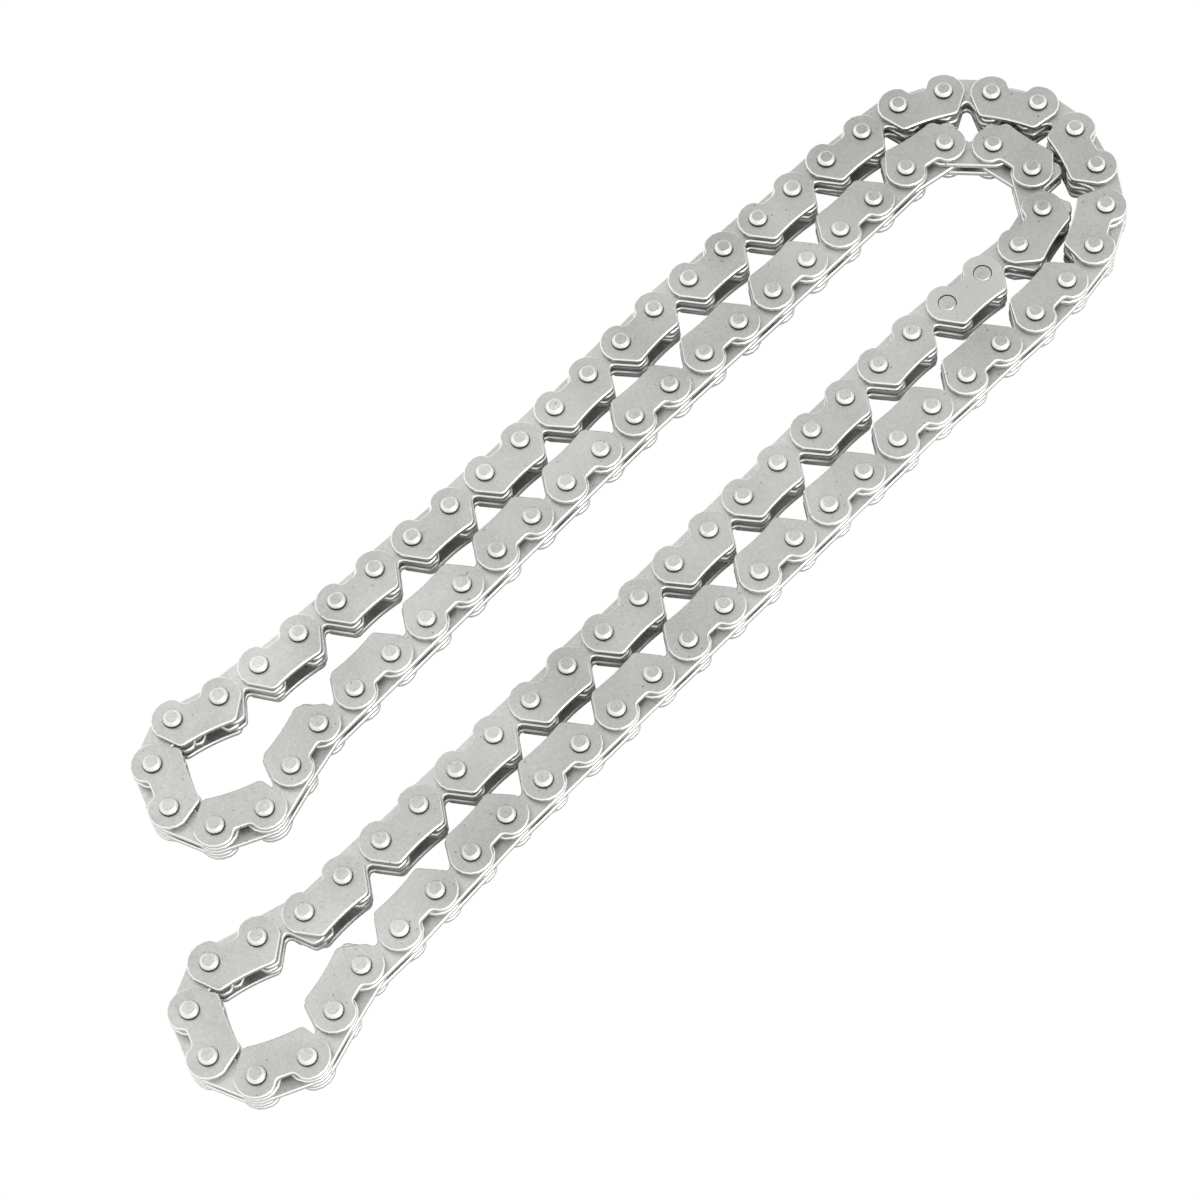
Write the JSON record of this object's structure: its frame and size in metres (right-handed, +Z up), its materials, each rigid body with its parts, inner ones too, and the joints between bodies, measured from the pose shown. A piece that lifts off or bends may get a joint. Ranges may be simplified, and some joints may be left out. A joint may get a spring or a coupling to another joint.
{
  "type": "silent timing chain",
  "caption": "Endless silent timing chain laid on its side as a folded loop: toothed inner plates swinging on riveted pins between guide plates.",
  "frame": {"origin": "middle of the laid loop's outline, on the plane of the lower pin ends", "axes": "+X along the two arms towards the wide outer bend, +Y across the arms towards the arm named upper, +Z up along the pins"},
  "size_m": [0.1712, 0.0498, 0.0058],
  "materials": {
    "guide_links": "tumbled bright steel with burnished edges",
    "strand_links": "tumbled bright steel with burnished edges",
    "toothed_plates": "tumbled steel, a little darker than the guide plates",
    "master_plates": "flat clean steel with flush pins"
  },
  "bodies": {
    "outer_bend_guide_3": {"outer_bend_guide_3": "guide_links"},
    "outer_bend_inner_3": {"outer_bend_inner_3_lower_plate": "toothed_plates", "outer_bend_inner_3_upper_plate": "toothed_plates"},
    "outer_bend_guide_4": {"outer_bend_guide_4": "guide_links"},
    "outer_bend_inner_4": {"outer_bend_inner_4_lower_plate": "toothed_plates", "outer_bend_inner_4_upper_plate": "toothed_plates"},
    "upper_outer_strand_1": {"upper_outer_strand_1": "strand_links"},
    "upper_outer_strand_2": {"upper_outer_strand_2": "strand_links"},
    "upper_outer_strand_3": {"upper_outer_strand_3": "strand_links"},
    "upper_outer_strand_4": {"upper_outer_strand_4": "strand_links"},
    "upper_outer_strand_5": {"upper_outer_strand_5": "strand_links"},
    "upper_loop_inner_1": {"upper_loop_inner_1_lower_plate": "toothed_plates", "upper_loop_inner_1_upper_plate": "toothed_plates"},
    "upper_loop_guide_1": {"upper_loop_guide_1": "guide_links"},
    "upper_loop_inner_2": {"upper_loop_inner_2_lower_plate": "toothed_plates", "upper_loop_inner_2_upper_plate": "toothed_plates"},
    "upper_loop_guide_2": {"upper_loop_guide_2": "guide_links"},
    "upper_loop_inner_3": {"upper_loop_inner_3_lower_plate": "toothed_plates", "upper_loop_inner_3_upper_plate": "toothed_plates"},
    "upper_inner_strand_1": {"upper_inner_strand_1": "strand_links"},
    "upper_inner_strand_2": {"upper_inner_strand_2": "strand_links"},
    "upper_inner_strand_3": {"upper_inner_strand_3": "strand_links"},
    "upper_inner_strand_4": {"upper_inner_strand_4": "strand_links"},
    "upper_inner_strand_5": {"upper_inner_strand_5": "strand_links"},
    "inner_bend_inner_1": {"inner_bend_inner_1_lower_plate": "toothed_plates", "inner_bend_inner_1_upper_plate": "toothed_plates"},
    "inner_bend_guide_1": {"inner_bend_guide_1": "guide_links"},
    "inner_bend_inner_2": {"inner_bend_inner_2_lower_plate": "toothed_plates", "inner_bend_inner_2_upper_plate": "toothed_plates"},
    "inner_bend_guide_2": {"inner_bend_guide_2": "guide_links"},
    "inner_bend_inner_3": {"inner_bend_inner_3_lower_plate": "toothed_plates", "inner_bend_inner_3_upper_plate": "toothed_plates"},
    "outer_bend_inner_2": {"outer_bend_inner_2_lower_plate": "toothed_plates", "outer_bend_inner_2_upper_plate": "toothed_plates"},
    "outer_bend_guide_2": {"outer_bend_guide_2": "guide_links"},
    "outer_bend_inner_1": {"outer_bend_inner_1_lower_plate": "toothed_plates", "outer_bend_inner_1_upper_plate": "toothed_plates"},
    "outer_bend_guide_1": {"outer_bend_guide_1": "guide_links"},
    "lower_outer_strand_1": {"lower_outer_strand_1": "strand_links"},
    "lower_outer_strand_2": {"lower_outer_strand_2": "strand_links"},
    "lower_outer_strand_3": {"lower_outer_strand_3": "strand_links"},
    "lower_outer_strand_4": {"lower_outer_strand_4": "strand_links"},
    "lower_outer_strand_5": {"lower_outer_strand_5": "strand_links"},
    "lower_outer_strand_6": {"lower_outer_strand_6": "strand_links"},
    "lower_loop_inner_1": {"lower_loop_inner_1_lower_plate": "toothed_plates", "lower_loop_inner_1_upper_plate": "toothed_plates"},
    "lower_loop_guide_1": {"lower_loop_guide_1": "guide_links"},
    "lower_loop_inner_2": {"lower_loop_inner_2_lower_plate": "toothed_plates", "lower_loop_inner_2_upper_plate": "toothed_plates"},
    "lower_loop_guide_2": {"lower_loop_guide_2": "guide_links"},
    "lower_loop_inner_3": {"lower_loop_inner_3_lower_plate": "toothed_plates", "lower_loop_inner_3_upper_plate": "toothed_plates"},
    "lower_inner_strand_1": {"lower_inner_strand_1": "strand_links"},
    "lower_inner_strand_2": {"lower_inner_strand_2": "strand_links"},
    "lower_inner_strand_3": {"lower_inner_strand_3": "strand_links"},
    "lower_inner_strand_4": {"lower_inner_strand_4": "strand_links"},
    "lower_inner_strand_5": {"lower_inner_strand_5": "strand_links"},
    "master_link": {"master_link_cover_plate": "master_plates", "master_link_middle_plate": "toothed_plates", "master_link_pin_plate": "master_plates"}
  },
  "joints": [
    {"name": "outer_bend_inner_3_hinge", "type": "hinge", "parent": "outer_bend_guide_3", "child": "outer_bend_inner_3", "pos_m": [0.07991, 0.00827, 0.0029], "axis": [0, 0, 1], "range_deg": [-1.07, 0.14]},
    {"name": "outer_bend_guide_4_hinge", "type": "hinge", "parent": "outer_bend_inner_3", "child": "outer_bend_guide_4", "pos_m": [0.07592, 0.01321, 0.0029], "axis": [0, 0, 1], "range_deg": [-0.26678, 0.03557]},
    {"name": "outer_bend_inner_4_hinge", "type": "hinge", "parent": "outer_bend_guide_4", "child": "outer_bend_inner_4", "pos_m": [0.07032, 0.0162, 0.0029], "axis": [0, 0, 1], "range_deg": [-0.43403, 0.05787]},
    {"name": "upper_outer_strand_1_hinge", "type": "hinge", "parent": "outer_bend_inner_4", "child": "upper_outer_strand_1", "pos_m": [0.06402, 0.01698, 0.0029], "axis": [0, 0, 1], "range_deg": [-2.73, 0.36]},
    {"name": "upper_outer_strand_2_hinge", "type": "hinge", "parent": "upper_outer_strand_1", "child": "upper_outer_strand_2", "pos_m": [0.03865, 0.01818, 0.0029], "axis": [0, 0, 1], "range_deg": [-1.86, 2.48]},
    {"name": "upper_outer_strand_3_hinge", "type": "hinge", "parent": "upper_outer_strand_2", "child": "upper_outer_strand_3", "pos_m": [0.01327, 0.01812, 0.0029], "axis": [0, 0, 1], "range_deg": [-1.83, 2.44]},
    {"name": "upper_outer_strand_4_hinge", "type": "hinge", "parent": "upper_outer_strand_3", "child": "upper_outer_strand_4", "pos_m": [-0.01213, 0.01781, 0.0029], "axis": [0, 0, 1], "range_deg": [-0.71, 0.94]},
    {"name": "upper_outer_strand_5_hinge", "type": "hinge", "parent": "upper_outer_strand_4", "child": "upper_outer_strand_5", "pos_m": [-0.0375, 0.01904, 0.0029], "axis": [0, 0, 1], "range_deg": [-2.95, 2.21]},
    {"name": "upper_loop_inner_1_hinge", "type": "hinge", "parent": "upper_outer_strand_5", "child": "upper_loop_inner_1", "pos_m": [-0.05617, 0.02214, 0.0029], "axis": [0, 0, 1], "range_deg": [-0.61, 0.46]},
    {"name": "upper_loop_guide_1_hinge", "type": "hinge", "parent": "upper_loop_inner_1", "child": "upper_loop_guide_1", "pos_m": [-0.06196, 0.01953, 0.0029], "axis": [0, 0, 1], "range_deg": [-0.50585, 0.37938]},
    {"name": "upper_loop_inner_2_hinge", "type": "hinge", "parent": "upper_loop_guide_1", "child": "upper_loop_inner_2", "pos_m": [-0.06442, 0.01368, 0.0029], "axis": [0, 0, 1], "range_deg": [-1.08, 0.81]},
    {"name": "upper_loop_guide_2_hinge", "type": "hinge", "parent": "upper_loop_inner_2", "child": "upper_loop_guide_2", "pos_m": [-0.06222, 0.00772, 0.0029], "axis": [0, 0, 1], "range_deg": [-1.51, 1.13]},
    {"name": "upper_loop_inner_3_hinge", "type": "hinge", "parent": "upper_loop_guide_2", "child": "upper_loop_inner_3", "pos_m": [-0.05656, 0.00485, 0.0029], "axis": [0, 0, 1], "range_deg": [-1.85, 1.39]},
    {"name": "upper_inner_strand_1_hinge", "type": "hinge", "parent": "upper_loop_inner_3", "child": "upper_inner_strand_1", "pos_m": [-0.05046, 0.00662, 0.0029], "axis": [0, 0, 1], "range_deg": [-4.13, 5.51]},
    {"name": "upper_inner_strand_2_hinge", "type": "hinge", "parent": "upper_inner_strand_1", "child": "upper_inner_strand_2", "pos_m": [-0.0316, 0.00843, 0.0029], "axis": [0, 0, 1], "range_deg": [-1.19, 1.59]},
    {"name": "upper_inner_strand_3_hinge", "type": "hinge", "parent": "upper_inner_strand_2", "child": "upper_inner_strand_3", "pos_m": [-0.00621, 0.00894, 0.0029], "axis": [0, 0, 1], "range_deg": [-0.93, 1.24]},
    {"name": "upper_inner_strand_4_hinge", "type": "hinge", "parent": "upper_inner_strand_3", "child": "upper_inner_strand_4", "pos_m": [0.01919, 0.00923, 0.0029], "axis": [0, 0, 1], "range_deg": [-3.49, 2.62]},
    {"name": "upper_inner_strand_5_hinge", "type": "hinge", "parent": "upper_inner_strand_4", "child": "upper_inner_strand_5", "pos_m": [0.04459, 0.00887, 0.0029], "axis": [0, 0, 1], "range_deg": [-2.99, 2.24]},
    {"name": "inner_bend_inner_1_hinge", "type": "hinge", "parent": "upper_inner_strand_5", "child": "inner_bend_inner_1", "pos_m": [0.06987, 0.00756, 0.0029], "axis": [0, 0, 1], "range_deg": [-0.22, 1.68]},
    {"name": "inner_bend_guide_1_hinge", "type": "hinge", "parent": "inner_bend_inner_1", "child": "inner_bend_guide_1", "pos_m": [0.0739, 0.00265, 0.0029], "axis": [0, 0, 1], "range_deg": [-0.36, 2.7]},
    {"name": "inner_bend_inner_2_hinge", "type": "hinge", "parent": "inner_bend_guide_1", "child": "inner_bend_inner_2", "pos_m": [0.07438, -0.00368, 0.0029], "axis": [0, 0, 1], "range_deg": [-0.3, 2.25]},
    {"name": "inner_bend_guide_2_hinge", "type": "hinge", "parent": "inner_bend_inner_2", "child": "inner_bend_guide_2", "pos_m": [0.07059, -0.00878, 0.0029], "axis": [0, 0, 1], "range_deg": [-0.16, 1.21]},
    {"name": "inner_bend_inner_3_hinge", "type": "hinge", "parent": "inner_bend_guide_2", "child": "inner_bend_inner_3", "pos_m": [0.06439, -0.01014, 0.0029], "axis": [0, 0, 1], "range_deg": [-0.14, 1.05]},
    {"name": "outer_bend_inner_2_hinge", "type": "hinge", "parent": "outer_bend_guide_3", "child": "outer_bend_inner_2", "pos_m": [0.08268, 0.00256, 0.0029], "axis": [0, 0, 1], "range_deg": [-0.56426, 0.07524]},
    {"name": "outer_bend_guide_2_hinge", "type": "hinge", "parent": "outer_bend_inner_2", "child": "outer_bend_guide_2", "pos_m": [0.08277, -0.00379, 0.0029], "axis": [0, 0, 1], "range_deg": [-0.0503, 0.37724]},
    {"name": "outer_bend_inner_1_hinge", "type": "hinge", "parent": "outer_bend_guide_2", "child": "outer_bend_inner_1", "pos_m": [0.08027, -0.00963, 0.0029], "axis": [0, 0, 1], "range_deg": [-0.09929, 0.74468]},
    {"name": "outer_bend_guide_1_hinge", "type": "hinge", "parent": "outer_bend_inner_1", "child": "outer_bend_guide_1", "pos_m": [0.07635, -0.01462, 0.0029], "axis": [0, 0, 1], "range_deg": [-0.13, 0.97]},
    {"name": "lower_outer_strand_1_hinge", "type": "hinge", "parent": "outer_bend_guide_1", "child": "lower_outer_strand_1", "pos_m": [0.07068, -0.01748, 0.0029], "axis": [0, 0, 1], "range_deg": [-0.26, 1.98]},
    {"name": "lower_outer_strand_2_hinge", "type": "hinge", "parent": "lower_outer_strand_1", "child": "lower_outer_strand_2", "pos_m": [0.04534, -0.01815, 0.0029], "axis": [0, 0, 1], "range_deg": [-0.46, 3.27]},
    {"name": "lower_outer_strand_3_hinge", "type": "hinge", "parent": "lower_outer_strand_2", "child": "lower_outer_strand_3", "pos_m": [0.01995, -0.01782, 0.0029], "axis": [0, 0, 1], "range_deg": [-0.36, 2.61]},
    {"name": "lower_outer_strand_4_hinge", "type": "hinge", "parent": "lower_outer_strand_3", "child": "lower_outer_strand_4", "pos_m": [-0.00545, -0.01773, 0.0029], "axis": [0, 0, 1], "range_deg": [-0.26, 1.87]},
    {"name": "lower_outer_strand_5_hinge", "type": "hinge", "parent": "lower_outer_strand_4", "child": "lower_outer_strand_5", "pos_m": [-0.03085, -0.01766, 0.0029], "axis": [0, 0, 1], "range_deg": [-1.52, 0.21]},
    {"name": "lower_outer_strand_6_hinge", "type": "hinge", "parent": "lower_outer_strand_5", "child": "lower_outer_strand_6", "pos_m": [-0.04988, -0.01829, 0.0029], "axis": [0, 0, 1], "range_deg": [-3.1, 0.43]},
    {"name": "lower_loop_inner_1_hinge", "type": "hinge", "parent": "lower_outer_strand_6", "child": "lower_loop_inner_1", "pos_m": [-0.06871, -0.02027, 0.0029], "axis": [0, 0, 1], "range_deg": [-3.7, 0.52]},
    {"name": "lower_loop_guide_1_hinge", "type": "hinge", "parent": "lower_loop_inner_1", "child": "lower_loop_guide_1", "pos_m": [-0.07478, -0.02213, 0.0029], "axis": [0, 0, 1], "range_deg": [-0.21, 1.49]},
    {"name": "lower_loop_inner_2_hinge", "type": "hinge", "parent": "lower_loop_guide_1", "child": "lower_loop_inner_2", "pos_m": [-0.08049, -0.01936, 0.0029], "axis": [0, 0, 1], "range_deg": [-0.22, 1.54]},
    {"name": "lower_loop_guide_2_hinge", "type": "hinge", "parent": "lower_loop_inner_2", "child": "lower_loop_guide_2", "pos_m": [-0.08278, -0.01344, 0.0029], "axis": [0, 0, 1], "range_deg": [-0.19, 1.37]},
    {"name": "lower_loop_inner_3_hinge", "type": "hinge", "parent": "lower_loop_guide_2", "child": "lower_loop_inner_3", "pos_m": [-0.08042, -0.00754, 0.0029], "axis": [0, 0, 1], "range_deg": [-0.2, 1.42]},
    {"name": "lower_inner_strand_1_hinge", "type": "hinge", "parent": "lower_loop_inner_3", "child": "lower_inner_strand_1", "pos_m": [-0.07468, -0.00484, 0.0029], "axis": [0, 0, 1], "range_deg": [-0.13, 0.93]},
    {"name": "lower_inner_strand_2_hinge", "type": "hinge", "parent": "lower_inner_strand_1", "child": "lower_inner_strand_2", "pos_m": [-0.04985, -0.00876, 0.0029], "axis": [0, 0, 1], "range_deg": [-0.3, 2.16]},
    {"name": "lower_inner_strand_3_hinge", "type": "hinge", "parent": "lower_inner_strand_2", "child": "lower_inner_strand_3", "pos_m": [-0.02445, -0.00904, 0.0029], "axis": [0, 0, 1], "range_deg": [-0.21, 1.52]},
    {"name": "lower_inner_strand_4_hinge", "type": "hinge", "parent": "lower_inner_strand_3", "child": "lower_inner_strand_4", "pos_m": [0.00095, -0.00907, 0.0029], "axis": [0, 0, 1], "range_deg": [-4.48, 0.63]},
    {"name": "lower_inner_strand_5_hinge", "type": "hinge", "parent": "lower_inner_strand_4", "child": "lower_inner_strand_5", "pos_m": [0.02635, -0.00888, 0.0029], "axis": [0, 0, 1], "range_deg": [-3.52, 0.49]},
    {"name": "master_link_hinge", "type": "hinge", "parent": "lower_inner_strand_5", "child": "master_link", "pos_m": [0.05174, -0.00913, 0.0029], "axis": [0, 0, 1], "range_deg": [-0.675, 0.09]}
  ],
  "couplings": [
    {"joint": "upper_outer_strand_2_hinge", "follows": "upper_inner_strand_2_hinge", "ratio": 1.043},
    {"joint": "upper_outer_strand_3_hinge", "follows": "upper_inner_strand_2_hinge", "ratio": 1.027},
    {"joint": "upper_outer_strand_4_hinge", "follows": "upper_inner_strand_2_hinge", "ratio": 0.39656},
    {"joint": "upper_outer_strand_5_hinge", "follows": "upper_inner_strand_2_hinge", "ratio": -1.2418},
    {"joint": "upper_loop_inner_1_hinge", "follows": "upper_inner_strand_2_hinge", "ratio": -0.25581},
    {"joint": "upper_loop_guide_1_hinge", "follows": "upper_inner_strand_2_hinge", "ratio": -0.21276},
    {"joint": "upper_loop_inner_2_hinge", "follows": "upper_inner_strand_2_hinge", "ratio": -0.45438},
    {"joint": "upper_loop_guide_2_hinge", "follows": "upper_inner_strand_2_hinge", "ratio": -0.63372},
    {"joint": "upper_loop_inner_3_hinge", "follows": "upper_inner_strand_2_hinge", "ratio": -0.77884},
    {"joint": "upper_inner_strand_1_hinge", "follows": "upper_inner_strand_2_hinge", "ratio": 2.3171},
    {"joint": "upper_inner_strand_3_hinge", "follows": "upper_inner_strand_2_hinge", "ratio": 0.51992},
    {"joint": "upper_inner_strand_4_hinge", "follows": "upper_inner_strand_2_hinge", "ratio": -1.4688},
    {"joint": "upper_inner_strand_5_hinge", "follows": "upper_inner_strand_2_hinge", "ratio": -1.2575},
    {"joint": "lower_outer_strand_2_hinge", "follows": "lower_loop_inner_1_hinge", "ratio": -0.58975},
    {"joint": "lower_outer_strand_3_hinge", "follows": "lower_loop_inner_1_hinge", "ratio": -0.46943},
    {"joint": "lower_outer_strand_4_hinge", "follows": "lower_loop_inner_1_hinge", "ratio": -0.3373},
    {"joint": "lower_outer_strand_5_hinge", "follows": "lower_loop_inner_1_hinge", "ratio": 0.27442},
    {"joint": "lower_outer_strand_6_hinge", "follows": "lower_loop_inner_1_hinge", "ratio": 0.55895},
    {"joint": "lower_loop_guide_1_hinge", "follows": "lower_loop_inner_1_hinge", "ratio": -0.26831},
    {"joint": "lower_loop_inner_2_hinge", "follows": "lower_loop_inner_1_hinge", "ratio": -0.27707},
    {"joint": "lower_loop_guide_2_hinge", "follows": "lower_loop_inner_1_hinge", "ratio": -0.24687},
    {"joint": "lower_loop_inner_3_hinge", "follows": "lower_loop_inner_1_hinge", "ratio": -0.25516},
    {"joint": "lower_inner_strand_1_hinge", "follows": "lower_loop_inner_1_hinge", "ratio": -0.16669},
    {"joint": "lower_inner_strand_2_hinge", "follows": "lower_loop_inner_1_hinge", "ratio": -0.38947},
    {"joint": "lower_inner_strand_3_hinge", "follows": "lower_loop_inner_1_hinge", "ratio": -0.2736},
    {"joint": "lower_inner_strand_4_hinge", "follows": "lower_loop_inner_1_hinge", "ratio": 0.80708},
    {"joint": "lower_inner_strand_5_hinge", "follows": "lower_loop_inner_1_hinge", "ratio": 0.63322},
    {"joint": "outer_bend_inner_3_hinge", "follows": "lower_outer_strand_1_hinge", "ratio": -0.35937},
    {"joint": "outer_bend_guide_4_hinge", "follows": "lower_outer_strand_1_hinge", "ratio": -0.089663},
    {"joint": "outer_bend_inner_4_hinge", "follows": "lower_outer_strand_1_hinge", "ratio": -0.14587},
    {"joint": "upper_outer_strand_1_hinge", "follows": "lower_outer_strand_1_hinge", "ratio": -0.91749},
    {"joint": "inner_bend_inner_1_hinge", "follows": "lower_outer_strand_1_hinge", "ratio": 0.56554},
    {"joint": "inner_bend_guide_1_hinge", "follows": "lower_outer_strand_1_hinge", "ratio": 0.90601},
    {"joint": "inner_bend_inner_2_hinge", "follows": "lower_outer_strand_1_hinge", "ratio": 0.75763},
    {"joint": "inner_bend_guide_2_hinge", "follows": "lower_outer_strand_1_hinge", "ratio": 0.40629},
    {"joint": "inner_bend_inner_3_hinge", "follows": "lower_outer_strand_1_hinge", "ratio": 0.35287},
    {"joint": "outer_bend_inner_2_hinge", "follows": "lower_outer_strand_1_hinge", "ratio": -0.18964},
    {"joint": "outer_bend_guide_2_hinge", "follows": "lower_outer_strand_1_hinge", "ratio": 0.12679},
    {"joint": "outer_bend_inner_1_hinge", "follows": "lower_outer_strand_1_hinge", "ratio": 0.25028},
    {"joint": "outer_bend_guide_1_hinge", "follows": "lower_outer_strand_1_hinge", "ratio": 0.32497},
    {"joint": "master_link_hinge", "follows": "lower_outer_strand_1_hinge", "ratio": -0.22686}
  ]
}
